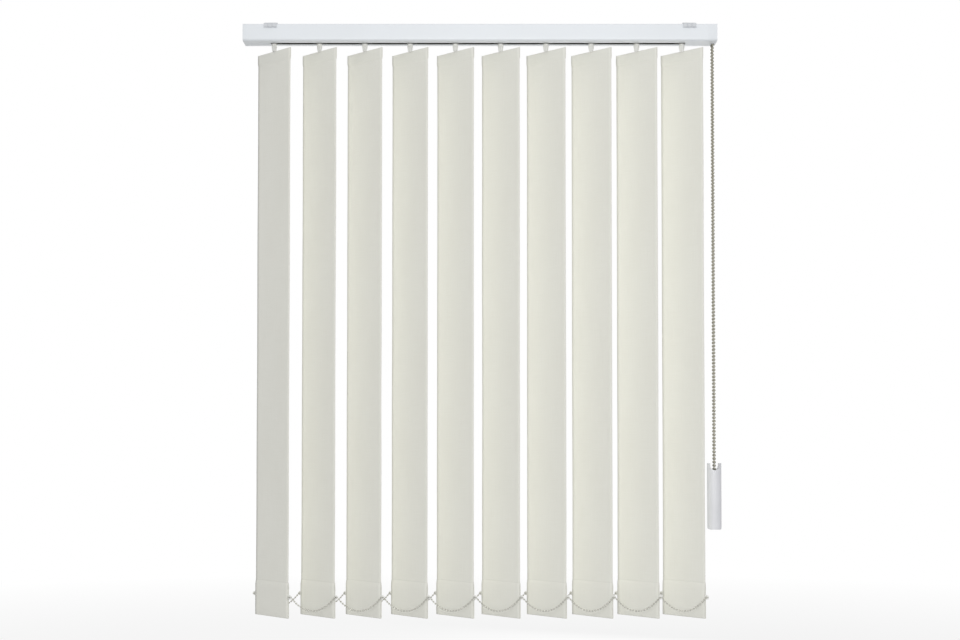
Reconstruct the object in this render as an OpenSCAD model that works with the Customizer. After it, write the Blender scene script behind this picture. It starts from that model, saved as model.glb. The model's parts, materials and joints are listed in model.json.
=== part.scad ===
// Vertical blind with fabric louvres, a white headrail and a bead chain that tilts the louvres.
// Millimetres. +X runs along the rail to the control end, -Y faces the room, +Z is up.
// The origin is midway between the two bracket screws, on the face they are screwed to.

/* [Louvres] */
// Number of louvres
louvre_count = 10; // [4:1:10]
// Width of one louvre
louvre_w = 89; // [70:1:130]
// Length of one louvre, from its top fold to its bottom fold
louvre_l = 994; // [300:1:2400]
// Distance from one louvre's pivot to the next
louvre_pitch = 80; // [60:1:115]
// Angle of the louvres to the rail, as shown
tilt_angle = 43; // [20:1:90]
// Thickness of the louvre fabric
fabric_t = 0.6; // [0.4:0.1:1]
// Height of the pocket at the top of a louvre
top_pocket_h = 20; // [16:1:40]
// Height of the glued seam above a louvre's bottom weight
seam_h = 13; // [9:1:30]
// Gap between a pocket's fabric and what it holds, on each side
pocket_play = 0.1; // [0.05:0.05:0.3]

/* [Headrail] */
// Depth of the rail, from the room side to the window side
rail_d = 40; // [38:1:60]
// Height of the rail
rail_h = 30; // [29:1:45]
// Wall of the rail
rail_wall = 1.4; // [1:0.1:2]
// Thickness of the two lips that the carriers run on
lip_t = 1.6; // [1.2:0.1:2.4]
// Width of the slot between the lips
slot_w = 12; // [11.5:0.5:14]
// Radius of the rail's lower edges
rail_low_r = 5; // [2:0.5:8]
// Radius of the rail's upper edges
rail_top_r = 1.5; // [0.5:0.5:2]
// Distance from the idle end of the blind to the first pivot
idle_space = 53; // [45:1:90]
// Distance from the last pivot to the control end of the blind
control_space = 60; // [58:1:90]

/* [Brackets] */
// Width of a bracket along the rail
bracket_w = 23; // [16:1:40]
// Thickness of the bracket sheet
bracket_t = 1.2; // [0.8:0.1:2]
// Room for the screw head between a bracket and the rail
screw_room = 3; // [2:0.5:5]
// Diameter of the screw hole
screw_hole_d = 5; // [3:0.5:6]
// Distance from each end of the blind to the middle of its bracket
bracket_inset = 48.5; // [25:0.5:120]
// Reach of the bracket's lip down the rail's front
bracket_lip_h = 6; // [3:0.5:10]

/* [Carriers] */
// Length of a carrier along the rail
carrier_l = 24; // [22:0.5:26]
// Diameter of the carrier wheels
wheel_d = 8; // [6:0.5:9]
// Diameter of the louvre stem where it turns in the carrier
stem_d = 6; // [5:0.5:7]
// Teeth of the stem's gear
gear_teeth = 12; // [10:1:16]
// Diameter over the gear's teeth
gear_d = 10.4; // [9.8:0.2:11]
// Drop from the carrier's boss to the top of the louvre
hook_drop = 13.2; // [12:0.2:20]
// Thickness of the strip that spaces one carrier from the next
strip_t = 0.5; // [0.3:0.1:0.6]

/* [Tilt drive] */
// Diameter of the tilt rod
rod_d = 4.4; // [4:0.2:4.8]
// Height of the tilt rod above the lips
rod_rise = 15.6; // [14.5:0.1:17]
// Diameter of a worm
worm_d = 7.2; // [6.8:0.2:7.8]
// Length of a worm
worm_l = 16; // [12:0.5:18]
// Pockets round the chain wheel, an even number
wheel_pockets = 6; // [6:2:6]
// Diameter of a bead of the control chain
bead_d = 4.5; // [4:0.1:4.7]
// Distance from bead to bead of the control chain
bead_pitch = 6; // [5.6:0.1:6.2]
// Beads down each side of the control chain
strand_beads = 129; // [30:1:160]
// Width of the chain weight
drop_weight_w = 25; // [20:0.5:30]
// Height of the chain weight up to the rim of its notch
drop_weight_h = 104; // [60:1:140]

/* [Bottom weights and chains] */
// Height of a louvre's bottom weight
weight_h = 48; // [40:1:60]
// Thickness of a louvre's bottom weight
weight_t = 2.2; // [1.6:0.1:2.6]
// Height of the chain lugs above the bottom of the louvre
lug_rise = 37; // [25:1:45]
// Sag of the bottom chain between two louvres
chain_sag = 24; // [10:0.5:30]
// Steps of the bottom chain from one louvre to the next
chain_steps = 16; // [8:1:20]
// Diameter of a ball of the bottom chain
ball_d = 3.2; // [2.4:0.1:4]
// Diameter of the cord that the balls are moulded on
cord_d = 1.2; // [0.8:0.1:1.4]

/* [Clearances] */
// Gap round a turning shaft
running_gap = 0.1; // [0.05:0.01:0.15]
// Gap between pieces that slide or pass one another
sliding_gap = 0.3; // [0.2:0.05:0.4]
// Gap between pieces that are pushed together
push_gap = 0.05; // [0.02:0.01:0.1]

/* [Hidden] */
$fn = 48;
white_plastic = [0.9, 0.9, 0.88];
white_paint = [0.88, 0.89, 0.91];
louvre_cream = [0.86, 0.85, 0.8];
bright_metal = [0.72, 0.71, 0.68];

// Places along the rail. The blind's ends lie at equal distances from the origin.
blind_l = idle_space + (louvre_count - 1) * louvre_pitch + control_space;
idle_end = -blind_l / 2;
control_end = blind_l / 2;
idle_cap_l = 6;
control_l = 16;
rail_start = idle_end + idle_cap_l;
rail_end = control_end - control_l;
function pivot_x(i) = idle_end + idle_space + (i - 1) * louvre_pitch;

// Heights of the rail
rail_top = -bracket_t - screw_room;
rail_low = rail_top - rail_h;
lip_top = rail_low + lip_t;
inner_d = rail_d - 2 * rail_wall;
inner_h = rail_h - rail_wall - lip_t;
inner_low_r = max(rail_low_r - rail_wall, 0.5);
inner_top_r = 0.5;
plug_l = 6;

// Tilt drive: the rod lies behind the stems by the gear's and the worm's radii
mesh_gap = 0.3;
rod_y = gear_d / 2 + mesh_gap + worm_d / 2;
rod_z = lip_top + rod_rise;
spline_count = 4;
spline_d = 1.2;

// Carrier: gear room above, stem bore and boss below, worm trough behind, strip guide in front
block_w = 18;
block_lift = 1;
block_low = lip_top + block_lift;
gear_t = 6;
gear_depth = 1.1;
gear_low = rod_z - gear_t / 2;
gear_room_r = gear_d / 2 + 2 * sliding_gap;
block_floor = gear_low - sliding_gap - 2;
block_top = rod_z + worm_d / 2 + 2;
trough_wall = 1.6;
boss_d = slot_w - 4 * sliding_gap + 0.2;
boss_low = rail_low - 0.8;
axle_d = 3;
wheel_w = 3.6;
wheel_side = 1;
wheel_x = carrier_l / 2 - wheel_d / 2 - 0.5;
lane_count = 4;
lane_pitch = strip_t + 2 * sliding_gap;
strip_h = 6;
guide_wall = 1;
guide_w = lane_count * lane_pitch + sliding_gap;
guide_low = rod_z - strip_h / 2 - sliding_gap;
guide_h = strip_h + 2 * sliding_gap;
strip_reach = louvre_pitch + carrier_l / 2 + 1;
strip_root = 7;

// Stem, and the hanger that clips on it
stem_collar_d = 8.4;
stem_collar_t = 1.6;
clip_w = 9;
clip_foot_w = 5.6;
clip_shoulder = 3;
clip_t = 5;
hanger_t = 1.4;
tongue_w = 7;
tongue_h = 7;
peg_d = 3;
peg_rise = 4;
hanger_side = 4.5;
louvre_top = boss_low - hook_drop;
louvre_low = louvre_top - louvre_l;
collar_top = boss_low - sliding_gap;
clip_top = collar_top - stem_collar_t;
clip_low = louvre_top + sliding_gap;
hanger_top = louvre_top - fabric_t - pocket_play;
hanger_low = louvre_top - top_pocket_h + 3;

// Louvre pockets, measured from the middle of the fabric
sheet_half = fabric_t / 2;
top_gap_half = hanger_t / 2 + pocket_play;
low_gap_half = weight_t / 2 + pocket_play;
pocket_taper = 7;
pocket_seal = 1.5;
fold_r = 0.5;

// Bottom weights: the lugs stand out past both edges of the louvre
weight_side = 2;
weight_low = louvre_low + fabric_t + sliding_gap;
bottom_pocket_h = weight_low + weight_h + seam_h - louvre_low;
lug_r = 3.6;
lug_out = 3.2;
lug_u = louvre_w / 2 + lug_out;
lug_z = louvre_low + lug_rise;
lug_hole_d = cord_d + 0.8;
lug_slit = cord_d - 0.3;

// Bottom chains: a ball on each face of a lug, and a catenary from one lug to the next
ball_out = weight_t / 2 + sliding_gap + ball_d / 2;
louvre_dir = [cos(tilt_angle), -sin(tilt_angle), 0];
louvre_normal = [sin(tilt_angle), cos(tilt_angle), 0];
arc_half = louvre_pitch / 2 - ball_out * louvre_normal[0];
arc_a = arc_half * arc_half / (2 * chain_sag) + chain_sag / 6;
function asinh(x) = ln(x + sqrt(x * x + 1));
function cosh(x) = (exp(x) + exp(-x)) / 2;
function sinh(x) = (exp(x) - exp(-x)) / 2;
function lug_at(i, side) = [pivot_x(i), 0, lug_z] + side * lug_u * louvre_dir;
function arc_s(k) = arc_a * sinh(arc_half / arc_a) * (2 * k / chain_steps - 1);
function arc_share(k) = (1 + arc_a * asinh(arc_s(k) / arc_a) / arc_half) / 2;
function arc_drop(k) = sqrt(arc_a * arc_a + arc_s(k) * arc_s(k)) - arc_a * cosh(arc_half / arc_a);
function arc_at(i, side, k) =
  (lug_at(i, side) + ball_out * louvre_normal) * (1 - arc_share(k))
  + (lug_at(i + 1, side) - ball_out * louvre_normal) * arc_share(k)
  + [0, 0, arc_drop(k)];

// Control chain and its wheel
link_d = 1.2;
link_play = 0.15;
chain_r = bead_pitch / (2 * sin(180 / wheel_pockets));
chain_inset = 4.8;
chain_x = control_end - chain_inset;
wheel_t = 5.4;
wheel_r = norm([chain_r, bead_pitch]) - bead_d / 2 - sliding_gap;
chain_room_r = chain_r + bead_d / 2 + 2 * sliding_gap;
chain_exit_w = bead_d + 4 * sliding_gap;
wheel_room_half = wheel_t / 2 + sliding_gap;
loop_z = rod_z - strand_beads * bead_pitch;

// Chain weight: a saddle inside hangs on the chain's loop
drop_weight_d = 2 * (chain_r + bead_d / 2) + 5.5;
saddle_r = chain_r - bead_d / 2 - sliding_gap;
notch_r = 8;
ear_h = 12;
rim_above_loop = 4;
drop_rim = loop_z + rim_above_loop;
drop_low = drop_rim - drop_weight_h;
drop_foot_r = 4;
drop_slit_w = 12;
drop_slit_t = 1.6;
drop_slit_h = 3;

function two_digits(i) = i < 10 ? str("0", i) : str(i);
function named(what) = [for (i = [1:louvre_count]) str(what, "_", two_digits(i))];

// Turns a flat outline drawn in (depth, height) so that it runs along X
module along_x(from, to) {
  translate([from, 0, 0]) rotate([90, 0, 90]) linear_extrude(to - from) children();
}

// A louvre's own place: local X runs along its width, its room edge at +X
module at_louvre(i) {
  translate([pivot_x(i), 0, 0]) rotate([0, 0, -tilt_angle]) children();
}

// A round bar along X, centred on a point of the (Y, Z) plane
module bar_x(from, to, y, z, d) {
  translate([from, y, z]) rotate([0, 90, 0]) cylinder(d = d, h = to - from);
}

// A section with its base on Y = 0 and other radii below than above
module rail_outline(d, h, low_r, top_r) {
  for (s = [-1, 1]) {
    translate([s * (d / 2 - low_r), low_r]) circle(r = low_r);
    translate([s * (d / 2 - top_r), h - top_r]) circle(r = top_r);
  }
  translate([-d / 2 + low_r, 0]) square([d - 2 * low_r, h - top_r]);
  translate([-d / 2 + top_r, low_r]) square([d - 2 * top_r, h - low_r]);
  translate([-d / 2, low_r]) square([d, h - low_r - top_r]);
}

module rail_outside() {
  translate([0, rail_low]) rail_outline(rail_d, rail_h, rail_low_r, rail_top_r);
}

module rail_inside(gap = 0) {
  translate([0, lip_top + gap])
    rail_outline(inner_d - 2 * gap, inner_h - 2 * gap, inner_low_r, inner_top_r);
}

module headrail() color(white_paint) {
  along_x(rail_start, rail_end) difference() {
    rail_outside();
    rail_inside();
    translate([-slot_w / 2, rail_low - 1]) square([slot_w, lip_t + 2]);
  }
}

// One arm of a bracket, on the +Y side: over the screw room, along the rail's top and down its face
module bracket_arm() {
  lip_in = rail_d / 2 + push_gap;
  lip_out = lip_in + bracket_t;
  lip_end = -screw_room - bracket_lip_h;
  plate_half = rail_d * 0.3;
  polygon([
    [0, 0],
    [plate_half, 0],
    [plate_half + 2, -screw_room],
    [lip_out - bracket_t, -screw_room],
    [lip_out, -screw_room - bracket_t],
    [lip_out, lip_end],
    [lip_out + bracket_t, lip_end - bracket_t],
    [lip_out + bracket_t / 2, lip_end - 1.6 * bracket_t],
    [lip_in, lip_end],
    [lip_in, rail_top],
    [plate_half + 1, rail_top],
    [plate_half - 1, -bracket_t],
    [0, -bracket_t]
  ]);
}

module bracket(x) {
  rib_d = 1.8;
  rib_x = bracket_w / 6;
  face_y = -rail_d / 2 - push_gap - bracket_t;
  difference() {
    along_x(x - bracket_w / 2, x + bracket_w / 2) {
      bracket_arm();
      mirror([1, 0]) bracket_arm();
    }
    translate([x, 0, -bracket_t - 1]) cylinder(d = screw_hole_d, h = bracket_t + 2);
  }
  for (s = [-1, 1])
    translate([x + s * rib_x, face_y, -screw_room - bracket_lip_h])
      cylinder(d = rib_d, h = bracket_lip_h - bracket_t);
}

module brackets() color(bright_metal) {
  bracket(idle_end + bracket_inset);
  bracket(control_end - bracket_inset);
}

// Strip that closes the rail's slot between an end piece and the first boss
module slot_strip(from, to) {
  along_x(from, to)
    translate([-slot_w / 2 + sliding_gap, rail_low]) square([slot_w - 2 * sliding_gap, lip_t]);
}

module idle_end_cap() color(white_plastic) {
  difference() {
    union() {
      along_x(idle_end, rail_start) rail_outside();
      along_x(rail_start, rail_start + plug_l) rail_inside(push_gap);
      slot_strip(rail_start, pivot_x(1) - boss_d / 2 - 1);
    }
    bar_x(idle_end + idle_cap_l / 3, rail_start + plug_l + 1, rod_y, rod_z, rod_d + 2 * running_gap);
  }
}

module control_housing() color(white_plastic) {
  difference() {
    union() {
      along_x(rail_end, control_end) rail_outside();
      along_x(rail_end - plug_l, rail_end) rail_inside(push_gap);
      slot_strip(pivot_x(louvre_count) + boss_d / 2 + 1, rail_end);
    }
    bar_x(chain_x - wheel_room_half, chain_x + wheel_room_half, rod_y, rod_z, 2 * chain_room_r);
    bar_x(rail_end - plug_l - 1, control_end - 1, rod_y, rod_z, rod_d + 2 * running_gap);
    translate([chain_x - chain_exit_w / 2, rod_y - chain_room_r, rail_low - 1])
      cube([chain_exit_w, 2 * chain_room_r, rod_z - rail_low + 1]);
  }
}

// The rod's section: round, with grooves that the worms' ridges run in
module rod_section(gap = 0) {
  difference() {
    circle(d = rod_d + 2 * gap);
    for (k = [0:spline_count - 1])
      rotate(k * 360 / spline_count)
        translate([rod_d / 2, 0]) circle(d = spline_d - 2 * gap);
  }
}

module on_rod(from, to) {
  translate([from, rod_y, rod_z]) rotate([90, 0, 90]) linear_extrude(to - from) children();
}

module tilt_rod() color(bright_metal) {
  on_rod(idle_end + idle_cap_l / 3 + sliding_gap, control_end - 1 - sliding_gap) rod_section();
}

module chain_wheel() color(white_plastic) {
  difference() {
    on_rod(chain_x - wheel_t / 2, chain_x + wheel_t / 2) difference() {
      circle(r = wheel_r);
      rod_section(push_gap);
    }
    on_rod(chain_x - link_d / 2 - sliding_gap, chain_x + link_d / 2 + sliding_gap) difference() {
      circle(r = wheel_r + 1);
      circle(r = chain_r * cos(180 / wheel_pockets) - link_d / 2 - sliding_gap);
    }
    for (k = [0:wheel_pockets - 1])
      translate([chain_x, rod_y, rod_z])
        rotate([k * 360 / wheel_pockets, 0, 0])
          translate([0, chain_r, 0]) sphere(d = bead_d + 2 * running_gap);
  }
}

// A ball with the wire that runs from it towards the next ball, turned from its half section
module ball_link(a, b, ball, wire, with_ball = true) {
  v = b - a;
  l = norm(v);
  translate(a) rotate([0, acos(v[2] / l), atan2(v[1], v[0])]) rotate_extrude() intersection() {
    union() {
      if (with_ball) circle(d = ball);
      translate([0, with_ball ? 0 : ball / 2 + link_play])
        square([wire / 2, l - ball / 2 - link_play - (with_ball ? 0 : ball / 2 + link_play)]);
    }
    translate([0, -ball]) square([ball, l + ball]);
  }
}

// Half a turn of the control chain, between the end balls of its two straight sides
module chain_turn(z, up) {
  steps = wheel_pockets / 2;
  function turn_at(k) =
    [chain_x, rod_y + chain_r * cos(k * 180 / steps), z + up * chain_r * sin(k * 180 / steps)];
  for (k = [0:steps - 1]) ball_link(turn_at(k), turn_at(k + 1), bead_d, link_d, k > 0);
}

// One straight side of the control chain, turned from its half section
module chain_strand() {
  l = strand_beads * bead_pitch;
  rotate_extrude() intersection() {
    union() {
      for (k = [0:strand_beads]) translate([0, k * bead_pitch]) circle(d = bead_d);
      square([link_d / 2, l]);
    }
    translate([0, -bead_pitch]) square([bead_d, l + 2 * bead_pitch]);
  }
}

module control_chain() color(bright_metal) {
  chain_turn(rod_z, 1);
  chain_turn(loop_z, -1);
  for (s = [-1, 1]) translate([chain_x, rod_y + s * chain_r, loop_z]) chain_strand();
}

// Front view of the chain weight: rounded foot, two ears and the notch between them
module drop_weight_front() {
  half = drop_weight_w / 2;
  difference() {
    union() {
      for (s = [-1, 1]) translate([s * (half - drop_foot_r), drop_foot_r]) circle(r = drop_foot_r);
      translate([-half + drop_foot_r, 0]) square([drop_weight_w - 2 * drop_foot_r, drop_foot_r]);
      translate([-half, drop_foot_r]) square([drop_weight_w, drop_weight_h + ear_h - drop_foot_r]);
    }
    translate([0, drop_weight_h + notch_r]) circle(r = notch_r);
    translate([-notch_r, drop_weight_h + notch_r]) square([2 * notch_r, ear_h]);
  }
}

module chain_weight() color(white_plastic) {
  r = drop_weight_d / 2;
  loop_r = chain_r + bead_d / 2 + sliding_gap;
  flat = max(drop_weight_w / 2 - r, 0);
  difference() {
    intersection() {
      translate([chain_x, rod_y + drop_weight_d, drop_low])
        rotate([90, 0, 0]) linear_extrude(2 * drop_weight_d) drop_weight_front();
      translate([chain_x, rod_y, drop_low - 1]) linear_extrude(drop_weight_h + ear_h + 2) {
        for (s = [-1, 1]) translate([s * flat, 0]) circle(r = r);
        translate([-flat, -r]) square([2 * flat, 2 * r]);
      }
    }
    translate([chain_x - chain_exit_w / 2, rod_y, loop_z]) rotate([90, 0, 90])
      linear_extrude(chain_exit_w) difference() {
        union() {
          circle(r = loop_r);
          translate([-loop_r, 0]) square([2 * loop_r, ear_h + rim_above_loop + 1]);
        }
        circle(r = saddle_r);
      }
    translate([chain_x - drop_slit_w / 2, rod_y - drop_slit_t / 2, drop_low - 1])
      cube([drop_slit_w, drop_slit_t, drop_slit_h + 1]);
  }
}

// Bottom chain along one edge of the louvres: side 1 is the room edge, side -1 the window edge
module bottom_chain(side) {
  path = concat(
    [lug_at(1, side) - ball_out * louvre_normal],
    [for (i = [1:louvre_count - 1], k = [0:chain_steps]) arc_at(i, side, k)],
    [lug_at(louvre_count, side) + ball_out * louvre_normal]
  );
  for (k = [0:len(path) - 2]) ball_link(path[k], path[k + 1], ball_d, cord_d);
  translate(path[len(path) - 1]) sphere(d = ball_d);
}

module front_chain() color(bright_metal) bottom_chain(1);

module back_chain() color(bright_metal) bottom_chain(-1);

// Strip that holds a carrier's distance from the one before it, in one of four lanes
module spacer_strip(lane) {
  y = -block_w / 2 - sliding_gap - (lane + 0.5) * lane_pitch - strip_t / 2;
  translate([-strip_reach, y, rod_z - strip_h / 2]) cube([strip_reach, strip_t, strip_h]);
  translate([-strip_root, y, guide_low - guide_wall / 2])
    cube([2 * strip_root, strip_t, guide_h + guide_wall]);
}

module carrier_wheels() {
  inner = block_w / 2 + wheel_side;
  for (sx = [-1, 1], sy = [-1, 1])
    translate([sx * wheel_x, 0, lip_top + sliding_gap + wheel_d / 2])
      rotate([sy * -90, 0, 0]) {
        translate([0, 0, inner]) cylinder(d = wheel_d, h = wheel_w);
        translate([0, 0, block_w / 2 - 1]) cylinder(d = axle_d, h = wheel_side + 2);
      }
}

module carrier_body() {
  half = carrier_l / 2;
  rear = rod_y + worm_d / 2 + trough_wall;
  guide_y = -block_w / 2 - guide_w;
  difference() {
    union() {
      translate([-half, -block_w / 2, block_low]) cube([carrier_l, block_w, block_floor - block_low + 1]);
      translate([-half, -block_w / 2, block_floor])
        cube([carrier_l, rear + block_w / 2, block_top - block_floor]);
      translate([-half, guide_y - guide_wall, guide_low - guide_wall])
        cube([carrier_l, guide_w + guide_wall + 1, guide_h + 2 * guide_wall]);
      translate([0, 0, boss_low]) cylinder(d = boss_d, h = block_low - boss_low + 1);
    }
    translate([0, 0, boss_low - 1]) cylinder(d = stem_d + 2 * running_gap, h = block_top - boss_low + 2);
    translate([0, 0, gear_low - sliding_gap]) cylinder(r = gear_room_r, h = block_top - gear_low + 1);
    bar_x(-half - 1, half + 1, rod_y, rod_z, rod_d + 2 * sliding_gap);
    on_rod(-worm_l / 2 - sliding_gap, worm_l / 2 + sliding_gap) {
      circle(d = worm_d + 2 * sliding_gap);
      translate([-worm_d / 2 - sliding_gap, 0]) square([worm_d + 2 * sliding_gap, block_top - rod_z + 1]);
    }
    translate([-half - 1, guide_y, guide_low]) cube([carrier_l + 2, guide_w + sliding_gap, guide_h]);
  }
}

module carrier(i) color(white_plastic) translate([pivot_x(i), 0, 0]) {
  carrier_body();
  carrier_wheels();
  if (i > 1) spacer_strip(i % lane_count);
}

// A worm at its thread's root, with a plain hub at each end
module worm(i) color(white_plastic) translate([pivot_x(i), 0, 0]) {
  hub_l = 2;
  hub_d = worm_d - 1.2;
  difference() {
    union() {
      on_rod(-worm_l / 2, worm_l / 2) circle(d = hub_d);
      on_rod(-worm_l / 2 + hub_l, worm_l / 2 - hub_l) circle(d = worm_d);
    }
    on_rod(-worm_l / 2 - 1, worm_l / 2 + 1) rod_section(running_gap);
  }
}

module gear_outline() {
  root = gear_d / 2 - gear_depth;
  root_w = PI * (gear_d - gear_depth) / gear_teeth * 0.6;
  tip_w = root_w * 0.5;
  circle(r = root);
  for (k = [0:gear_teeth - 1]) rotate(k * 360 / gear_teeth)
    polygon([[root - gear_depth / 2, -root_w / 2], [gear_d / 2, -tip_w / 2],
      [gear_d / 2, tip_w / 2], [root - gear_depth / 2, root_w / 2]]);
}

// Two prongs that take the hanger's tongue between them, and the peg that holds it
module stem_clip() {
  slot_t = hanger_t + 2 * sliding_gap;
  slot_top = louvre_top + tongue_h + sliding_gap;
  difference() {
    translate([0, clip_t / 2, 0]) rotate([90, 0, 0]) linear_extrude(clip_t) polygon([
      [-clip_w / 2, clip_top], [clip_w / 2, clip_top], [clip_w / 2, clip_top - clip_shoulder],
      [clip_foot_w / 2, clip_low], [-clip_foot_w / 2, clip_low], [-clip_w / 2, clip_top - clip_shoulder]
    ]);
    translate([-clip_w, -slot_t / 2, clip_low - 1]) cube([2 * clip_w, slot_t, slot_top - clip_low + 1]);
  }
  translate([0, slot_t / 2 + 0.5, louvre_top + peg_rise])
    rotate([90, 0, 0]) cylinder(d = peg_d, h = slot_t + 0.5 - sliding_gap);
}

// The hanger lies in the louvre's top pocket, with a tongue up through the fold
module hanger() {
  width = louvre_w - 2 * hanger_side;
  difference() {
    union() {
      translate([-width / 2, -hanger_t / 2, hanger_low]) cube([width, hanger_t, hanger_top - hanger_low]);
      translate([-tongue_w / 2, -hanger_t / 2, hanger_low])
        cube([tongue_w, hanger_t, louvre_top + tongue_h - hanger_low]);
    }
    translate([0, hanger_t, louvre_top + peg_rise])
      rotate([90, 0, 0]) cylinder(d = peg_d + 2 * sliding_gap, h = 2 * hanger_t);
  }
}

module stem(i) color(white_plastic) at_louvre(i) {
  translate([0, 0, gear_low]) linear_extrude(gear_t) gear_outline();
  translate([0, 0, clip_top - 1]) cylinder(d = stem_d, h = gear_low - clip_top + 1.5);
  translate([0, 0, clip_top - 0.5]) cylinder(d = stem_collar_d, h = stem_collar_t + 0.5);
  stem_clip();
  hanger();
}

// Side view of a louvre: one sheet, turned back at both ends into a glued pocket
module louvre_side() {
  top_half = top_gap_half + fabric_t;
  low_half = low_gap_half + fabric_t;
  top_seal = louvre_top - top_pocket_h;
  low_seal = louvre_low + bottom_pocket_h;
  edge = [
    [top_half - fold_r, louvre_top],
    [top_half, louvre_top - fold_r],
    [top_half, top_seal + pocket_taper / 2],
    [sheet_half, top_seal],
    [sheet_half, low_seal],
    [low_half, low_seal - pocket_taper],
    [low_half, louvre_low + fold_r],
    [low_half - fold_r, louvre_low]
  ];
  mirrored = [for (k = [len(edge) - 1:-1:0]) [-edge[k][0], edge[k][1]]];
  difference() {
    polygon(concat(edge, mirrored));
    translate([-top_gap_half, hanger_low - pocket_play])
      square([2 * top_gap_half, louvre_top - fabric_t - hanger_low + pocket_play]);
    translate([-low_gap_half, louvre_low + fabric_t])
      square([2 * low_gap_half, weight_h + sliding_gap + pocket_seal]);
  }
}

module louvre(i) color(louvre_cream) at_louvre(i) {
  difference() {
    along_x(-louvre_w / 2, louvre_w / 2) louvre_side();
    translate([-tongue_w / 2 - sliding_gap, -top_gap_half, hanger_top - 1])
      cube([tongue_w + 2 * sliding_gap, 2 * top_gap_half, fabric_t + 2]);
  }
}

// A bottom weight: a plate in the pocket and a lug at each end that holds the chain between two balls
module weight(i) color(white_plastic) at_louvre(i) {
  plate_w = louvre_w - 2 * weight_side;
  translate([0, weight_t / 2, 0]) rotate([90, 0, 0]) linear_extrude(weight_t) difference() {
    union() {
      translate([-plate_w / 2, weight_low]) square([plate_w, weight_h]);
      for (s = [-1, 1]) {
        translate([s * lug_u, lug_z]) circle(r = lug_r);
        translate([s * (lug_u + plate_w / 2) / 2 - (lug_u - plate_w / 2 + 1) / 2, lug_z - lug_r])
          square([lug_u - plate_w / 2 + 1, 2 * lug_r]);
      }
    }
    for (s = [-1, 1]) translate([s * lug_u, lug_z]) {
      circle(d = lug_hole_d);
      translate([s > 0 ? 0 : -2 * lug_r, -lug_slit / 2]) square([2 * lug_r, lug_slit]);
    }
  }
}

headrail();
brackets();
idle_end_cap();
control_housing();
tilt_rod();
chain_wheel();
control_chain();
chain_weight();
front_chain();
back_chain();
for (i = [1:louvre_count]) {
  carrier(i);
  worm(i);
  stem(i);
  louvre(i);
  weight(i);
}
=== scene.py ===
"""Finish for a vertical blind: fabric louvres, white headrail, bead chains, and a plain studio."""

import json
import math

import bmesh
import bpy
from mathutils import Matrix, Vector, noise


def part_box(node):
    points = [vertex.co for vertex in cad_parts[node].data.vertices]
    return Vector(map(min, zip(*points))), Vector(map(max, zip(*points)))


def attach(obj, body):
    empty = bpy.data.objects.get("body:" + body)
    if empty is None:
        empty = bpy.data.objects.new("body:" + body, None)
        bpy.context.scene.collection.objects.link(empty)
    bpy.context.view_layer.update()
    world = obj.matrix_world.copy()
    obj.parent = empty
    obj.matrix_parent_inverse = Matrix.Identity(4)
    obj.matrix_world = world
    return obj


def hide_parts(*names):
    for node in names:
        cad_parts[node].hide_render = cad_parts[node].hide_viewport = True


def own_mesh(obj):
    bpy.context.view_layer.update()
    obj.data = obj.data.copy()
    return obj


bl_info = {
    "name": "Vertical Blind",
    "version": (1, 0, 0),
    "blender": (4, 5, 0),
    "location": "View3D > Sidebar > Blind",
    "description": "Dresses the blind's solids with woven louvres, ball chains and finishes",
    "category": "Object",
}

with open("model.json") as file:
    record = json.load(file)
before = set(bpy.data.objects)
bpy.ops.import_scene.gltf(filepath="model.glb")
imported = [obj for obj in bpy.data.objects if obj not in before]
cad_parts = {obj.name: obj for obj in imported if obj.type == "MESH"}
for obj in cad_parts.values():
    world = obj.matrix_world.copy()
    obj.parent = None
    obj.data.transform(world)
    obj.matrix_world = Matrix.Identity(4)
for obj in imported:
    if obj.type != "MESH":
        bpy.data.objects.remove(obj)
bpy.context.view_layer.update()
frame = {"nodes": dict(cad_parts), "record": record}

LOUVRE_COUNT = sum(1 for name in frame["nodes"] if name.startswith("louvre_"))
NUMBERS = range(1, LOUVRE_COUNT + 1)
JOINTS = {joint["name"]: joint for joint in frame["record"]["behaviour"]["joints"]}

# The louvres' angle to the rail at rest, with the directions along and square to their cloth.
TILT = math.radians(43.0)
ACROSS = Vector((math.cos(TILT), -math.sin(TILT), 0.0))
NORMAL = Vector((math.sin(TILT), math.cos(TILT), 0.0))
UP = Vector((0.0, 0.0, 1.0))

# Radius of the cloth's middle line over the hanger and under the weight.
TOP_FOLD = 0.0011
LOW_FOLD = 0.0015
FOLD_STEPS = 8
MAIN_STEPS = 30
COLUMN_STEPS = 8

# How far down the cloth starts to bow and how soon, and the same near the bottom, as shares.
TOP_HELD, TOP_EASE = 0.02, 0.12
LOW_HELD, LOW_EASE = 0.93, 0.10

# The cloth's slow unevenness: its depth, its scale across and along, and a step between louvres.
WAVE_DEPTH = 0.0006
WAVE_ACROSS, WAVE_ALONG, WAVE_STEP = 9.0, 5.0, 7.3

# How plainly the top and bottom seams show, and where a seam's line starts and ends its fade.
SEAM_MARKS = (0.15, 1.0)
SEAM_FADE = (0.0004, 0.0012)

# Streaks and clouds for each metre of cloth, across and along.
WEFT_STREAKS = (28.0, 1500.0, 1.0)
WARP_STREAKS = (1500.0, 22.0, 1.0)
CLOUDS = (14.0, 5.0, 1.0)

# The headrail's wall and the outer radii of its section.
RAIL_WALL = 0.0014
RAIL_LOW_ROUND = 0.005
RAIL_TOP_ROUND = 0.0015

# The darker end of the slow mottle in paint, plastic and plate.
MOTTLE_SHADE = 0.97

PICTURE = (960.0, 640.0)
SENSOR = 36.0
WHITE = (1.0, 1.0, 1.0, 1.0)
FLOOR_GREY = (0.5, 0.5, 0.5, 1.0)
FLOOR_REACH = 6.0
FLOOR_FADE = (2.0, 5.0)
LAMP_AIM = Vector((0.0, 0.0, -0.5))


def louvre_name(number):
    return "louvre_%02d" % number


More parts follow.
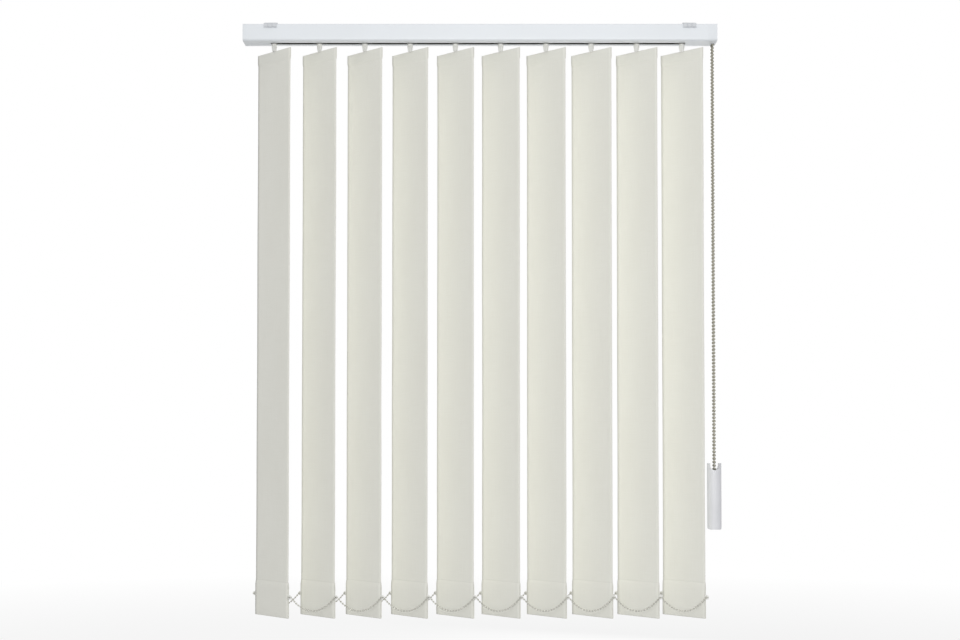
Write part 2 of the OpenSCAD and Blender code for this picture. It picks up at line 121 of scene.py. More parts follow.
def numbered(kind):
    return ["%s_%02d" % (kind, number) for number in NUMBERS]


def pivot(number):
    """A point on the upright line that a louvre turns about."""
    joint = "tilt" if number == LOUVRE_COUNT else "tilt_%02d" % number
    return Vector((JOINTS[joint]["pos_m"][0], JOINTS[joint]["pos_m"][1], 0.0))


def linear(level):
    """One sRGB level, 0 to 255, as scene light."""
    share = level / 255.0
    return share / 12.92 if share <= 0.04045 else ((share + 0.055) / 1.055) ** 2.4


def rgb(red, green, blue):
    return (linear(red), linear(green), linear(blue))


def number_prop(name, description, default, **more):
    return bpy.props.FloatProperty(name=name, description=description, default=default, **more)


def length_prop(name, description, default):
    return number_prop(name, description, default, unit="LENGTH", precision=4, min=0.0)


def colour_prop(name, description, default):
    return bpy.props.FloatVectorProperty(
        name=name,
        description=description,
        default=default,
        subtype="COLOR",
        size=3,
        min=0.0,
        max=1.0,
    )


class BlindLouvres(bpy.types.PropertyGroup):
    """Sizes and colour of the fabric louvres"""

    width: length_prop("Width", "Width of one louvre", 0.089)
    fabric: length_prop("Fabric", "Thickness of the fabric", 0.0006)
    top_pocket: length_prop("Top pocket", "Height of the pocket that holds the hanger", 0.020)
    bottom_pocket: length_prop(
        "Bottom pocket", "Height of the pocket that holds the weight", 0.0619
    )
    tongue: length_prop("Tongue slot", "Width of the slot in the top fold", 0.0076)
    curl: length_prop("Curl", "How far the middle of a louvre bows", 0.0012)
    thread: length_prop("Thread", "Distance from one thread of the weave to the next", 0.0006)
    colour: colour_prop("Cream", "Colour of the fabric", rgb(231, 231, 224))
    shade: colour_prop("Slub", "Colour of the thicker threads", rgb(220, 219, 210))


class BlindFinishes(bpy.types.PropertyGroup):
    """Colours of the rail, plastics and metals"""

    rail: colour_prop("Rail", "Paint on the headrail", rgb(225, 229, 233))
    # Painted shade: a dark grey for the faces inside the headrail, standing in for the shadow in
    # the rail's hollow and slot.
    inside_shade: colour_prop("Bare metal", "Unpainted aluminium inside the headrail", rgb(112, 111, 108))
    ends: colour_prop("End pieces", "Plastic of the end pieces", rgb(224, 228, 232))
    plastic: colour_prop("Plastic", "Stems and bottom weights", rgb(235, 235, 231))
    # Painted shade: the carriers and worms are a darker grey than their pale plastic, so that the
    # slot looks shadowed.
    carrier: colour_prop("Carriers", "Plastic of the carriers and worms", rgb(150, 150, 147))
    weight: colour_prop("Chain weight", "Plastic of the chain weight", rgb(213, 214, 218))
    bracket: colour_prop("Bracket", "Paint on the brackets", rgb(203, 206, 210))
    rod: colour_prop("Rod", "Drawn aluminium of the tilt rod", rgb(190, 190, 192))
    chain: colour_prop("Control chain", "Nickel plate of the control chain", rgb(152, 149, 137))
    fine_chain: colour_prop("Bottom chain", "Nickel plate of the bottom chains", rgb(184, 183, 175))


class BlindChains(bpy.types.PropertyGroup):
    """Sizes of the bottom chains"""

    ball: length_prop("Ball", "Diameter of a ball", 0.0032)
    cord: length_prop("Link", "Diameter of the wire between balls", 0.0012)
    pitch: length_prop("Pitch", "Distance from ball to ball", 0.0048)
    sag: length_prop("Sag", "Sag between two louvres", 0.024)
    lug_out: length_prop("Lug", "Distance of a lug's hole past the louvre's edge", 0.0032)
    lug_rise: length_prop(
        "Lug height", "Height of a lug's hole above the louvre's bottom", 0.037
    )
    ball_out: length_prop("Ball offset", "Distance of a ball from the middle of its lug", 0.0030)


class BlindStage(bpy.types.PropertyGroup):
    """Camera, floor and light"""

    distance: length_prop("Distance", "Camera's distance from the louvres' pivots", 2.5)
    eye: number_prop("Eye level", "Height of the camera", -0.713, unit="LENGTH")
    scale: number_prop("Scale", "Pixels for each metre at the pivots", 570.0, min=1.0)
    eye_row: number_prop("Eye row", "Row of the picture at eye level", 427.9)
    pitch: number_prop(
        "Pitch", "How far the camera looks up", math.radians(1.7), subtype="ANGLE"
    )
    floor: number_prop("Floor", "Height of the floor", -1.45, unit="LENGTH")
    ambient: number_prop("Ambient", "Strength of the light from all round", 0.64, min=0.0)
    key: number_prop("Key", "Power of the front lamp", 34.0, min=0.0)
    window: number_prop("Window", "Power of the lamp behind", 44.0, min=0.0)
    floor_white: number_prop(
        "Floor white", "Share of plain white in the floor as seen", 0.75, min=0.0, max=1.0
    )


GROUPS = (
    ("blind_louvres", BlindLouvres),
    ("blind_finishes", BlindFinishes),
    ("blind_chains", BlindChains),
    ("blind_stage", BlindStage),
)


def new_group(name, inputs, outputs):
    """An empty shader node group with float or vector sockets."""
    kinds = {"float": "NodeSocketFloat", "vector": "NodeSocketVector"}
    group = bpy.data.node_groups.new(name, "ShaderNodeTree")
    for label, kind, value in inputs:
        socket = group.interface.new_socket(label, in_out="INPUT", socket_type=kinds[kind])
        if value is not None:
            socket.default_value = value
    for label, kind in outputs:
        group.interface.new_socket(label, in_out="OUTPUT", socket_type=kinds[kind])
    return group, group.nodes.new("NodeGroupInput"), group.nodes.new("NodeGroupOutput")


def add_math(tree, operation, first, second=None):
    """A Math node fed by sockets or plain numbers; its result socket is returned."""
    node = tree.nodes.new("ShaderNodeMath")
    node.operation = operation
    for index, value in enumerate((first, second)):
        if value is None:
            continue
        if isinstance(value, (int, float)):
            node.inputs[index].default_value = value
        else:
            tree.links.new(value, node.inputs[index])
    return node.outputs[0]


def add_square(tree, value):
    return add_math(tree, "MULTIPLY", value, value)


def add_largest(tree, values):
    """The largest of several sockets."""
    largest = values[0]
    for value in values[1:]:
        largest = add_math(tree, "MAXIMUM", largest, value)
    return largest


def add_noise(tree, vector, stretch, detail, roughness):
    """Noise on coordinates that are stretched first; its value socket is returned."""
    mapping = tree.nodes.new("ShaderNodeMapping")
    mapping.inputs["Scale"].default_value = stretch
    tree.links.new(vector, mapping.inputs["Vector"])
    node = tree.nodes.new("ShaderNodeTexNoise")
    node.inputs["Scale"].default_value = 1.0
    node.inputs["Detail"].default_value = detail
    node.inputs["Roughness"].default_value = roughness
    tree.links.new(mapping.outputs["Vector"], node.inputs["Vector"])
    return node.outputs["Fac"]


def add_mix(tree, factor, first, second):
    """A colour mix; each colour is a socket or an rgb triple."""
    node = tree.nodes.new("ShaderNodeMix")
    node.data_type = "RGBA"
    tree.links.new(factor, node.inputs[0])
    for index, value in ((6, first), (7, second)):
        if isinstance(value, bpy.types.NodeSocket):
            tree.links.new(value, node.inputs[index])
        else:
            node.inputs[index].default_value = (*value, 1.0)
    return node.outputs[2]


def add_range(tree, value, low, high, to_low, to_high):
    """A Map Range node from low and high to two other numbers."""
    node = tree.nodes.new("ShaderNodeMapRange")
    for index, number in enumerate((low, high, to_low, to_high), start=1):
        node.inputs[index].default_value = number
    tree.links.new(value, node.inputs[0])
    return node.outputs[0]


def weave_group():
    """Plain weave on a sheet's own UV map, in metres: thread relief, slub streaks and clouds."""
    name = "Plain weave"
    if name in bpy.data.node_groups:
        return bpy.data.node_groups[name]
    group, inside, out = new_group(
        name,
        (("UV", "vector", None), ("Threads per metre", "float", 1600.0)),
        (("Relief", "float"), ("Slub", "float"), ("Cloud", "float")),
    )
    place = inside.outputs["UV"]
    split = group.nodes.new("ShaderNodeSeparateXYZ")
    group.links.new(place, split.inputs[0])
    turns = add_math(group, "MULTIPLY", inside.outputs["Threads per metre"], math.pi)
    warp = add_math(group, "SINE", add_math(group, "MULTIPLY", split.outputs["X"], turns))
    weft = add_math(group, "SINE", add_math(group, "MULTIPLY", split.outputs["Y"], turns))
    over = add_math(group, "MULTIPLY", warp, weft)
    relief = add_math(group, "ADD", add_math(group, "MULTIPLY", over, 0.5), 0.5)
    group.links.new(relief, out.inputs["Relief"])
    cross = add_noise(group, place, WEFT_STREAKS, detail=3.0, roughness=0.6)
    along = add_noise(group, place, WARP_STREAKS, detail=3.0, roughness=0.6)
    slub = add_math(group, "MULTIPLY", add_math(group, "ADD", cross, along), 0.5)
    group.links.new(add_range(group, slub, 0.36, 0.68, 0.0, 1.0), out.inputs["Slub"])
    cloud = add_noise(group, place, CLOUDS, detail=2.0, roughness=0.5)
    group.links.new(cloud, out.inputs["Cloud"])
    return group


def grain_group():
    """Fine moulded or sprayed grain in Object coordinates: a height and a slow mottle."""
    name = "Fine grain"
    if name in bpy.data.node_groups:
        return bpy.data.node_groups[name]
    group, inside, out = new_group(
        name,
        (("Position", "vector", None), ("Grain", "float", 900.0), ("Mottle", "float", 9.0)),
        (("Height", "float"), ("Mottle", "float")),
    )
    for scale, result, detail in (("Grain", "Height", 3.0), ("Mottle", "Mottle", 2.0)):
        texture = group.nodes.new("ShaderNodeTexNoise")
        texture.inputs["Detail"].default_value = detail
        group.links.new(inside.outputs["Position"], texture.inputs["Vector"])
        group.links.new(inside.outputs[scale], texture.inputs["Scale"])
        group.links.new(texture.outputs["Fac"], out.inputs[result])
    return group


def start_material(name):
    material = bpy.data.materials.new(name)
    material.use_nodes = True
    tree = material.node_tree
    shader = tree.nodes["Principled BSDF"]
    place = tree.nodes.new("ShaderNodeTexCoord")
    return material, tree, shader, place


def place_group(tree, group, **values):
    node = tree.nodes.new("ShaderNodeGroup")
    node.node_tree = group
    for label, value in values.items():
        node.inputs[label.replace("_", " ")].default_value = value
    return node


def add_bump(tree, height, shader, distance, strength=1.0):
    bump = tree.nodes.new("ShaderNodeBump")
    bump.inputs["Distance"].default_value = distance
    bump.inputs["Strength"].default_value = strength
    tree.links.new(height, bump.inputs["Height"])
    tree.links.new(bump.outputs["Normal"], shader.inputs["Normal"])


def shaded(colour, share):
    return tuple(channel * share for channel in colour)


def grained_material(name, colour, rough, grain, depth, mottle, metal=0.0, coat=0.0):
    """Plastic, paint or plate: fine grain in the normal, slow mottle in colour and roughness."""
    material, tree, shader, place = start_material(name)
    effect = place_group(tree, grain_group(), Grain=grain, Mottle=mottle)
    tree.links.new(place.outputs["Object"], effect.inputs["Position"])
    mask = add_range(tree, effect.outputs["Mottle"], 0.35, 0.65, 0.0, 1.0)
    mottled = add_mix(tree, mask, shaded(colour, MOTTLE_SHADE), colour)
    tree.links.new(mottled, shader.inputs["Base Color"])
    rough_map = add_range(tree, effect.outputs["Mottle"], 0.3, 0.7, *rough)
    tree.links.new(rough_map, shader.inputs["Roughness"])
    shader.inputs["Metallic"].default_value = metal
    shader.inputs["Coat Weight"].default_value = coat
    add_bump(tree, effect.outputs["Height"], shader, depth)
    return material


def shade_rail_inside(material, colour):
    """Paints shade onto the faces inside the headrail, a dark grey chosen by their depth in its
    rounded section.
    """
    tree = material.node_tree
    shader = tree.nodes["Principled BSDF"]
    low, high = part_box("headrail")
    place = tree.nodes.new("ShaderNodeTexCoord")
    split = tree.nodes.new("ShaderNodeSeparateXYZ")
    tree.links.new(place.outputs["Object"], split.inputs[0])
    across = add_math(tree, "ABSOLUTE", split.outputs["Y"])
    corners = (
        (RAIL_LOW_ROUND, low[2] + RAIL_LOW_ROUND, -1.0),
        (RAIL_TOP_ROUND, high[2] - RAIL_TOP_ROUND, 1.0),
    )
    masks = []
    for radius, level, way in corners:
        side = add_math(tree, "SUBTRACT", across, high[1] - radius)
        side = add_math(tree, "MAXIMUM", side, 0.0)
        past = add_math(tree, "SUBTRACT", split.outputs["Z"], level)
        past = add_math(tree, "MAXIMUM", add_math(tree, "MULTIPLY", past, way), 0.0)
        squares = add_math(tree, "ADD", add_square(tree, side), add_square(tree, past))
        out = add_math(tree, "SQRT", squares)
        masks.append(add_math(tree, "GREATER_THAN", out, radius - RAIL_WALL / 4))
    painted = add_largest(tree, masks)
    paint = shader.inputs["Base Color"].links[0].from_socket
    # Painted shade: the faces inside the section take the dark grey in place of the rail paint.
    tree.links.new(add_mix(tree, painted, colour, paint), shader.inputs["Base Color"])


def fabric_material(sizes, seam_runs):
    """Woven louvre cloth on its UV map, with a welded line across it at each seam."""
    material, tree, shader, place = start_material("Louvre cloth")
    weave = place_group(tree, weave_group(), Threads_per_metre=1.0 / sizes.thread)
    tree.links.new(place.outputs["UV"], weave.inputs["UV"])
    split = tree.nodes.new("ShaderNodeSeparateXYZ")
    tree.links.new(place.outputs["UV"], split.inputs[0])
    lines = []
    for run, mark in zip(seam_runs, SEAM_MARKS):
        off = add_math(tree, "ABSOLUTE", add_math(tree, "SUBTRACT", split.outputs["Y"], run))
        lines.append(add_range(tree, off, *SEAM_FADE, mark, 0.0))
    seam = add_largest(tree, lines)
    slub_share = add_math(tree, "MULTIPLY", weave.outputs["Slub"], 0.55)
    slub = add_mix(tree, slub_share, sizes.colour, sizes.shade)
    cloud_share = add_range(tree, weave.outputs["Cloud"], 0.3, 0.7, 0.0, 0.35)
    clouded = add_mix(tree, cloud_share, slub, shaded(sizes.shade, 1.02))
    seam_share = add_math(tree, "MULTIPLY", seam, 0.25)
    pressed = add_mix(tree, seam_share, clouded, shaded(sizes.shade, 0.85))
    tree.links.new(pressed, shader.inputs["Base Color"])
    shader.inputs["Roughness"].default_value = 0.88
    shader.inputs["Sheen Weight"].default_value = 0.08
    shader.inputs["Sheen Roughness"].default_value = 0.5
    shader.inputs["Specular IOR Level"].default_value = 0.25
    slub_height = add_math(tree, "MULTIPLY", weave.outputs["Slub"], 0.8)
    relief = add_math(tree, "ADD", weave.outputs["Relief"], slub_height)
    height = add_math(tree, "SUBTRACT", relief, add_math(tree, "MULTIPLY", seam, 0.8))
    add_bump(tree, height, shader, distance=0.00006, strength=0.8)
    return material


def finish_object(bm, name, material, smooth_angle=35.0):
    """Turns a bmesh into an object at the origin with smooth shading up to an angle."""
    mesh = bpy.data.meshes.new(name)
    bm.to_mesh(mesh)
    bm.free()
    mesh.materials.append(material)
    mesh.shade_smooth()
    mesh.set_sharp_from_angle(angle=math.radians(smooth_angle))
    piece = bpy.data.objects.new(name, mesh)
    bpy.context.collection.objects.link(piece)
    return piece


def dress(nodes, material):
    """Gives CAD nodes a material."""
    for name in nodes:
        materials = frame["nodes"][name].data.materials
        materials.clear()
        materials.append(material)


def fold(centre, radius, start, end):
    """Points (v, z) round a fold at a height, by angle from the sheet's normal."""
    turn = [start + (end - start) * step / FOLD_STEPS for step in range(FOLD_STEPS + 1)]
    return [
        (radius * math.cos(math.radians(a)), centre + radius * math.sin(math.radians(a)))
        for a in turn
    ]


def top_pocket_path(sizes, top):
    """Points (v, z) from the glued end over the hanger and down to the top seam."""
    seal = top - sizes.top_pocket
    centre = top - sizes.fabric / 2 - TOP_FOLD
    near, clear, below = seal + 0.002, seal + 0.005, centre - 0.004
    path = [(sizes.fabric, seal), (TOP_FOLD * 0.8, near), (TOP_FOLD, clear), (TOP_FOLD, below)]
    path += fold(centre, TOP_FOLD, 0.0, 180.0)
    path += [(-TOP_FOLD, below), (-TOP_FOLD, clear), (-TOP_FOLD * 0.5, near), (0.0, seal)]
    return path


def bottom_pocket_path(sizes, low):
    """Points (v, z) from the bottom seam round the weight and up to the glued end."""
    seal = low + sizes.bottom_pocket
    centre = low + sizes.fabric / 2 + LOW_FOLD
    near, clear, middle = seal - 0.003, seal - 0.008, (seal + low) / 2
    levels = (middle + 0.012, middle, middle - 0.012)
    path = [(0.0, seal), (-LOW_FOLD * 0.5, near), (-LOW_FOLD, clear)]
    path += [(-LOW_FOLD, level) for level in levels]
    path += fold(centre, LOW_FOLD, 180.0, 360.0)
    path += [(LOW_FOLD, level) for level in reversed(levels)]
    path += [(LOW_FOLD, clear), (LOW_FOLD * 0.7, near), (sizes.fabric, seal)]
    return path


def louvre_path(sizes, top, low):
    """The middle line of the cloth, from the top pocket's glued end round both folds."""
    upper = top_pocket_path(sizes, top)
    lower = bottom_pocket_path(sizes, low)
    seal_top, seal_low = upper[-1][1], lower[0][1]
    start, end = seal_top - 0.004, seal_low + 0.004
    main_face = [
        (0.0, start + (end - start) * step / MAIN_STEPS) for step in range(MAIN_STEPS + 1)
    ]
    return upper + [(0.0, seal_top - 0.002)] + main_face + [(0.0, seal_low + 0.001)] + lower


def draw_strip(bm, path, sizes):
    """Draws the path out to a strip, with a column of faces at a time; its length is returned."""
    run_layer = bm.verts.layers.float.new("run")
    side_layer = bm.verts.layers.float.new("side")
    half = sizes.width / 2
    verts = [bm.verts.new((-half, v, z)) for v, z in path]
    edges = [bm.edges.new(pair) for pair in zip(verts, verts[1:])]
    run = 0.0
    for previous, vert in zip([None] + verts, verts):
        run += (vert.co - previous.co).length if previous else 0.0
        vert[run_layer] = run
    reach = half - sizes.tongue / 2
    outer = [-half + reach * step / COLUMN_STEPS for step in range(1, COLUMN_STEPS + 1)]
    columns = sorted({round(u, 6) for u in outer + [0.0, half] + [-u for u in outer]})
    at = -half
    for u in columns:
        grown = bmesh.ops.extrude_edge_only(bm, edges=edges)["geom"]
        edges = [e for e in grown if isinstance(e, bmesh.types.BMEdge)]
        fresh = [v for v in grown if isinstance(v, bmesh.types.BMVert)]
        bmesh.ops.translate(bm, verts=fresh, vec=(u - at, 0.0, 0.0))
        at = u
    for vert in bm.verts:
        vert[side_layer] = vert.co.x
    return run


def cut_tongue_slot(bm, sizes, top):
    """Opens the top fold where the stem's tongue passes through it."""
    slot = sizes.tongue / 2
    edge_z = top - sizes.fabric - 0.0008
    gone = [
        face
        for face in bm.faces
        if abs(face.calc_center_median().x) < slot and face.calc_center_median().z > edge_z
    ]
    bmesh.ops.delete(bm, geom=gone, context="FACES")
    bm.normal_update()


def lay_uv(bm):
    """A UV map in metres, across and along the flat cloth."""
    side_layer = bm.verts.layers.float["side"]
    run_layer = bm.verts.layers.float["run"]
    uv_layer = bm.loops.layers.uv.new("UVMap")
    for face in bm.faces:
        for loop in face.loops:
            loop[uv_layer].uv = (loop.vert[side_layer], loop.vert[run_layer])


def ramp(value, length):
    return min(1.0, max(0.0, value / length))


def bow_cloth(bm, number, sizes, top, low):
    """Bows the cloth a little between its pockets, and unevenly, as hanging fabric does."""
    half = sizes.width / 2
    for vert in bm.verts:
        depth = (top - vert.co.z) / (top - low)
        free = ramp(depth - TOP_HELD, TOP_EASE) * ramp(LOW_HELD - depth, LOW_EASE)
        bow = sizes.curl * (1.0 - (vert.co.x / half) ** 2)
        spot = Vector((vert.co.x * WAVE_ACROSS, vert.co.z * WAVE_ALONG, number * WAVE_STEP))
        vert.co.y += free * (bow + WAVE_DEPTH * noise.noise(spot))


def build_louvre(number, sizes, material):
    """One strip of cloth, folded and glued to a pocket at each end, hung on its tongue."""
    low_corner, high_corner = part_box(louvre_name(number))
    top, low = high_corner[2], low_corner[2]
    bm = bmesh.new()
    run = draw_strip(bm, louvre_path(sizes, top, low), sizes)
    cut_tongue_slot(bm, sizes, top)
    lay_uv(bm)
    bow_cloth(bm, number, sizes, top, low)
    turn = Matrix.Translation(pivot(number)) @ Matrix.Rotation(-TILT, 4, "Z")
    bmesh.ops.transform(bm, matrix=turn, verts=bm.verts)
    bmesh.ops.recalc_face_normals(bm, faces=bm.faces)
    piece = finish_object(bm, "cloth_%02d" % number, material, 60.0)
    wall = piece.modifiers.new("Cloth thickness", "SOLIDIFY")
    wall.thickness = sizes.fabric
    wall.offset = 0.0
    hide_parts(louvre_name(number))
    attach(piece, "vane_%02d" % number)


def louvre_seams(sizes):
    """Distances along the cloth of the two glued lines on the main face."""
    low_corner, high_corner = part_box(louvre_name(1))
    path = louvre_path(sizes, high_corner[2], low_corner[2])
    runs = [0.0]
    for first, second in zip(path, path[1:]):
        runs.append(runs[-1] + math.dist(first, second))
    lines = (high_corner[2] - sizes.top_pocket, low_corner[2] + sizes.bottom_pocket)
    return [
        min(run for run, point in zip(runs, path) if math.dist(point, (0.0, z)) < 1e-7)
        for z in lines
    ]


class BLIND_OT_louvres(bpy.types.Operator):
    """Hang a folded strip of woven cloth in place of each plain louvre"""

    bl_idname = "blind.louvres"
    bl_label = "Louvres"

    def execute(self, context):
        sizes = context.scene.blind_louvres
        material = fabric_material(sizes, louvre_seams(sizes))
        for number in NUMBERS:
            build_louvre(number, sizes, material)
        return {"FINISHED"}


def hanging_points(first, last, sag, pitch):
    """Points a ball apart along a hanging chain between two points at one height."""
    half = (last - first).length / 2
    shape = half * half / (2 * sag) + sag / 6
    reach = shape * math.sinh(half / shape)
    count = max(4, round(2 * reach / pitch))
    points = []
    for step in range(count + 1):
        along = reach * (2 * step / count - 1)
        share = 0.5 + shape * math.asinh(along / shape) / (2 * half)
        drop = math.hypot(shape, along) - shape * math.cosh(half / shape)
        points.append(first.lerp(last, share) + Vector((0.0, 0.0, drop)))
    return points


def facing(direction):
    """A turn that takes the upright axis to a direction."""
    return UP.rotation_difference(direction).to_matrix().to_4x4()


def add_ball(bm, place, direction, diameter):
    """A small ball with its poles on the wire."""
    bmesh.ops.create_uvsphere(
        bm,
        u_segments=10,
        v_segments=6,
        radius=diameter / 2,
        matrix=Matrix.Translation(place) @ facing(direction),
    )


def add_wire(bm, first, last, diameter):
    """A short straight wire with open ends, which lie inside balls."""
    direction = last - first
    bmesh.ops.create_cone(
        bm,
        segments=6,
        radius1=diameter / 2,
        radius2=diameter / 2,
        depth=direction.length,
        cap_ends=False,
        matrix=Matrix.Translation((first + last) / 2) @ facing(direction),
    )


def lug_place(number, side, sizes, width, low):
    """The middle of the hole in one of a louvre's two lugs."""
    across = width / 2 + sizes.lug_out
    return pivot(number) + side * across * ACROSS + Vector((0.0, 0.0, low + sizes.lug_rise))


def build_lug_link(name, number, first, last, sizes, material):
    """The ball on each face of a lug and the wire between them, which turn with their louvre."""
    bm = bmesh.new()
    for place in (first, last):
        add_ball(bm, place, last - first, sizes.ball)
    add_wire(bm, first, last, sizes.cord)
    piece = finish_object(bm, name, material, 80.0)
    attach(piece, "vane_%02d" % number)


def add_arc(bm, points, sizes):
    """The balls between two lugs, with a wire that ends just inside the balls on the lugs."""
    inside = 0.4 * sizes.ball
    start = points[0].lerp(points[1], inside / (points[1] - points[0]).length)
    end = points[-1].lerp(points[-2], inside / (points[-1] - points[-2]).length)
    stops = [start] + points[1:-1] + [end]
    for here, there in zip(stops, stops[1:]):
        add_wire(bm, here, there, sizes.cord)
    for place, ahead in zip(points[1:-1], points[2:]):
        add_ball(bm, place, ahead - place, sizes.ball)


def build_bottom_chain(name, node, body, side, material, context):
    """Balls on a wire, through every lug along one edge of the louvres."""
    sizes = context.scene.blind_chains
    width = context.scene.blind_louvres.width
    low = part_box(louvre_name(1))[0][2]
    lugs = [lug_place(number, side, sizes, width, low) for number in NUMBERS]
    out = sizes.ball_out * NORMAL
    for number, lug in zip(NUMBERS, lugs):
        link = "%s_link_%02d" % (name, number)
        build_lug_link(link, number, lug - out, lug + out, sizes, material)
    bm = bmesh.new()
    for first, second in zip(lugs, lugs[1:]):
        add_arc(bm, hanging_points(first + out, second - out, sizes.sag, sizes.pitch), sizes)
    piece = finish_object(bm, name + "_ball_chain", material, 80.0)
    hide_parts(node)
    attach(piece, body)
    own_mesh(piece)


class BLIND_OT_bottom_chains(bpy.types.Operator):
    """String a fine ball chain through the lugs along both edges of the louvres"""

    bl_idname = "blind.bottom_chains"
    bl_label = "Bottom chains"

    def execute(self, context):
        colours = context.scene.blind_finishes
        material = grained_material(
            "Fine nickel",
            colours.fine_chain,
            rough=(0.24, 0.36),
            grain=1500.0,
            depth=0.00001,
            mottle=60.0,
            metal=1.0,
        )
        build_bottom_chain("room", "front_chain", "room_chain", 1.0, material, context)
        build_bottom_chain("window", "back_chain", "window_chain", -1.0, material, context)
        return {"FINISHED"}


class BLIND_OT_rail(bpy.types.Operator):
    """Paint the headrail and finish its end pieces and brackets"""

    bl_idname = "blind.rail"
    bl_label = "Headrail"

    def execute(self, context):
        colours = context.scene.blind_finishes
        paint = grained_material(
            "Rail paint",
            colours.rail,
            rough=(0.30, 0.38),
            grain=700.0,
            depth=0.000012,
            mottle=7.0,
            coat=0.15,
        )
        # Painted shade inside the rail's hollow and slot, in place of their real shadow.
        shade_rail_inside(paint, colours.inside_shade)
        dress(["headrail"], paint)
        caps = grained_material(
            "End plastic",
            colours.ends,
            rough=(0.42, 0.52),
            grain=1100.0,
            depth=0.00002,
            mottle=20.0,
        )
        dress(["idle_end_cap", "control_housing", "chain_wheel"], caps)
        plate = grained_material(
            "Bracket paint",
            colours.bracket,
            rough=(0.32, 0.46),
            grain=420.0,
            depth=0.00001,
            mottle=90.0,
            coat=0.1,
        )
        dress(["brackets"], plate)
        return {"FINISHED"}


class BLIND_OT_carriers(bpy.types.Operator):
    """Finish the carriers, worms, stems and bottom weights"""

    bl_idname = "blind.carriers"
    bl_label = "Carriers and stems"

    def execute(self, context):
        colours = context.scene.blind_finishes
        # Painted shade: the carriers and worms get a darker grey than their pale plastic, to stand
        # in for the shadow inside the rail.
        body = grained_material(
            "Carrier plastic",
            colours.carrier,
            rough=(0.48, 0.6),
            grain=1300.0,
            depth=0.00002,
            mottle=30.0,
        )
        dress(numbered("carrier") + numbered("worm"), body)
        clip = grained_material(
            "Stem plastic",
            colours.plastic,
            rough=(0.38, 0.5),
            grain=1500.0,
            depth=0.000015,
            mottle=40.0,
        )
        dress(numbered("stem") + numbered("weight"), clip)
        return {"FINISHED"}


class BLIND_OT_control(bpy.types.Operator):
    """Finish the control chain, its weight and the tilt rod"""

    bl_idname = "blind.control"
    bl_label = "Control chain"

    def execute(self, context):
        colours = context.scene.blind_finishes
        chain = grained_material(
            "Chain nickel",
            colours.chain,
            rough=(0.2, 0.34),
            grain=1500.0,
            depth=0.00001,
            mottle=80.0,
            metal=1.0,
        )
        dress(["control_chain"], chain)
        weight = grained_material(
            "Weight plastic",
            colours.weight,
            rough=(0.34, 0.44),
            grain=1200.0,
            depth=0.00002,
            mottle=25.0,
            coat=0.1,
        )
        dress(["chain_weight"], weight)
        rod = grained_material(
            "Drawn aluminium",
            colours.rod,
            rough=(0.3, 0.42),
            grain=800.0,
            depth=0.00001,
            mottle=30.0,
            metal=1.0,
        )
        dress(["tilt_rod"], rod)
        return {"FINISHED"}


def show_apart(tree, lit, seen, out):
    """Shows one shader to the camera, gloss and glass, and another to all other light."""
    path = tree.nodes.new("ShaderNodeLightPath")
    kinds = ("Is Camera Ray", "Is Glossy Ray", "Is Transmission Ray")
    mix = tree.nodes.new("ShaderNodeMixShader")
    tree.links.new(add_largest(tree, [path.outputs[kind] for kind in kinds]), mix.inputs[0])
    tree.links.new(lit, mix.inputs[1])
    tree.links.new(seen, mix.inputs[2])
    tree.links.new(mix.outputs[0], out.inputs["Surface"])


def build_world(strength):
    """Soft light from all round, in front of a background that is seen as white."""
    world = bpy.data.worlds.new("Studio")
    bpy.context.scene.world = world
    world.use_nodes = True
    tree = world.node_tree
    soft = tree.nodes["Background"]
    white = tree.nodes.new("ShaderNodeBackground")
    for node, level in ((soft, strength), (white, 1.0)):
        node.inputs["Color"].default_value = WHITE
        node.inputs["Strength"].default_value = level
    show_apart(tree, soft.outputs[0], white.outputs[0], tree.nodes["World Output"])


def build_floor(height, white_share):
    """A wide pale floor below the hanging blind, which fades to white further off."""
    bm = bmesh.new()
    bmesh.ops.create_grid(bm, x_segments=8, y_segments=8, size=FLOOR_REACH)
    bmesh.ops.translate(bm, verts=bm.verts, vec=(0.0, 0.0, height))
    material, tree, shader, place = start_material("Floor")
    shader.inputs["Base Color"].default_value = FLOOR_GREY
    shader.inputs["Roughness"].default_value = 0.8
    white = tree.nodes.new("ShaderNodeEmission")
    away = tree.nodes.new("ShaderNodeVectorMath")
    away.operation = "LENGTH"
    tree.links.new(place.outputs["Object"], away.inputs[0])
    share = add_range(tree, away.outputs["Value"], *FLOOR_FADE, white_share, 1.0)
    pale = tree.nodes.new("ShaderNodeMixShader")
    tree.links.new(share, pale.inputs[0])
    tree.links.new(shader.outputs[0], pale.inputs[1])
    tree.links.new(white.outputs[0], pale.inputs[2])
    show_apart(tree, shader.outputs[0], pale.outputs[0], tree.nodes["Material Output"])
    floor = finish_object(bm, "floor", material)


def add_lamp(name, place, power, size, gloss=True):
    """A soft rectangular lamp that points at the louvres."""
    data = bpy.data.lights.new(name, "AREA")
    data.energy = power
    data.shape = "RECTANGLE"
    data.size, data.size_y = size
    lamp = bpy.data.objects.new(name, data)
    lamp.visible_glossy = gloss
    lamp.location = place
    lamp.rotation_euler = (LAMP_AIM - Vector(place)).to_track_quat("-Z", "Y").to_euler()
    bpy.context.collection.objects.link(lamp)


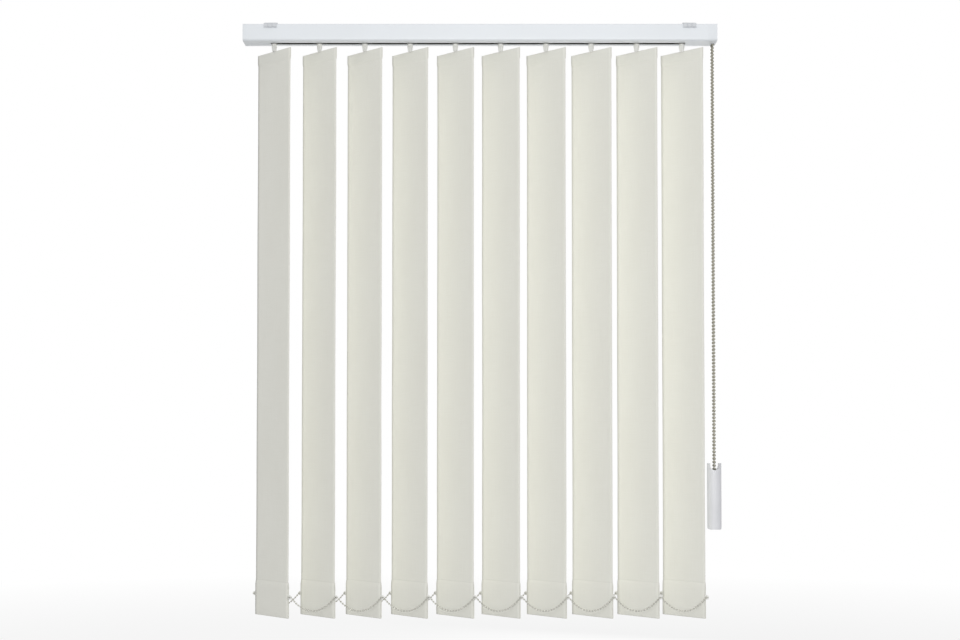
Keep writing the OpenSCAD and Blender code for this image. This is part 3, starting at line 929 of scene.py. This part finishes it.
def build_camera(stage):
    """A camera in front of the blind's middle, with the eye level's row given by its shift."""
    width, height = PICTURE
    data = bpy.data.cameras.new("Camera")
    data.sensor_width = SENSOR
    focus = stage.scale * stage.distance / width
    data.lens = focus * SENSOR
    data.shift_y = (stage.eye_row - height / 2) / width - focus * math.tan(stage.pitch)
    camera = bpy.data.objects.new("Camera", data)
    camera.location = (0.0, -stage.distance, stage.eye)
    camera.rotation_euler = (math.radians(90.0) + stage.pitch, 0.0, 0.0)
    bpy.context.collection.objects.link(camera)
    bpy.context.scene.camera = camera


class BLIND_OT_stage(bpy.types.Operator):
    """Set up the camera, the pale floor and soft light"""

    bl_idname = "blind.stage"
    bl_label = "Stage"

    def execute(self, context):
        stage = context.scene.blind_stage
        context.scene.view_settings.view_transform = "Standard"
        build_camera(stage)
        build_world(stage.ambient)
        build_floor(stage.floor, stage.floor_white)
        add_lamp("Key", (0.15, -2.7, -0.2), stage.key, (1.6, 1.6))
        # The rail's underside would mirror this lamp at a low angle, as a white glare.
        add_lamp("Window", (0.95, 2.4, -0.4), stage.window, (2.0, 1.6), gloss=False)
        return {"FINISHED"}


class BLIND_PT_panel(bpy.types.Panel):
    """The blind's pieces and settings"""

    bl_idname = "BLIND_PT_panel"
    bl_label = "Vertical Blind"
    bl_space_type = "VIEW_3D"
    bl_region_type = "UI"
    bl_category = "Blind"

    def draw(self, context):
        for operator in OPERATORS:
            self.layout.operator(operator.bl_idname)
        for name, group in GROUPS:
            box = self.layout.box()
            box.label(text=group.__doc__)
            for prop in group.__annotations__:
                box.prop(getattr(context.scene, name), prop)


OPERATORS = (
    BLIND_OT_stage,
    BLIND_OT_louvres,
    BLIND_OT_bottom_chains,
    BLIND_OT_rail,
    BLIND_OT_carriers,
    BLIND_OT_control,
)


def register():
    for name, group in GROUPS:
        bpy.utils.register_class(group)
        setattr(bpy.types.Scene, name, bpy.props.PointerProperty(type=group))
    for operator in OPERATORS:
        bpy.utils.register_class(operator)
    bpy.utils.register_class(BLIND_PT_panel)


def unregister():
    bpy.utils.unregister_class(BLIND_PT_panel)
    for operator in reversed(OPERATORS):
        bpy.utils.unregister_class(operator)
    for name, group in reversed(GROUPS):
        delattr(bpy.types.Scene, name)
        bpy.utils.unregister_class(group)


def main():
    register()
    bpy.ops.blind.stage()
    bpy.ops.blind.louvres()
    bpy.ops.blind.bottom_chains()
    bpy.ops.blind.rail()
    bpy.ops.blind.carriers()
    bpy.ops.blind.control()


if __name__ == "__main__":
    main()
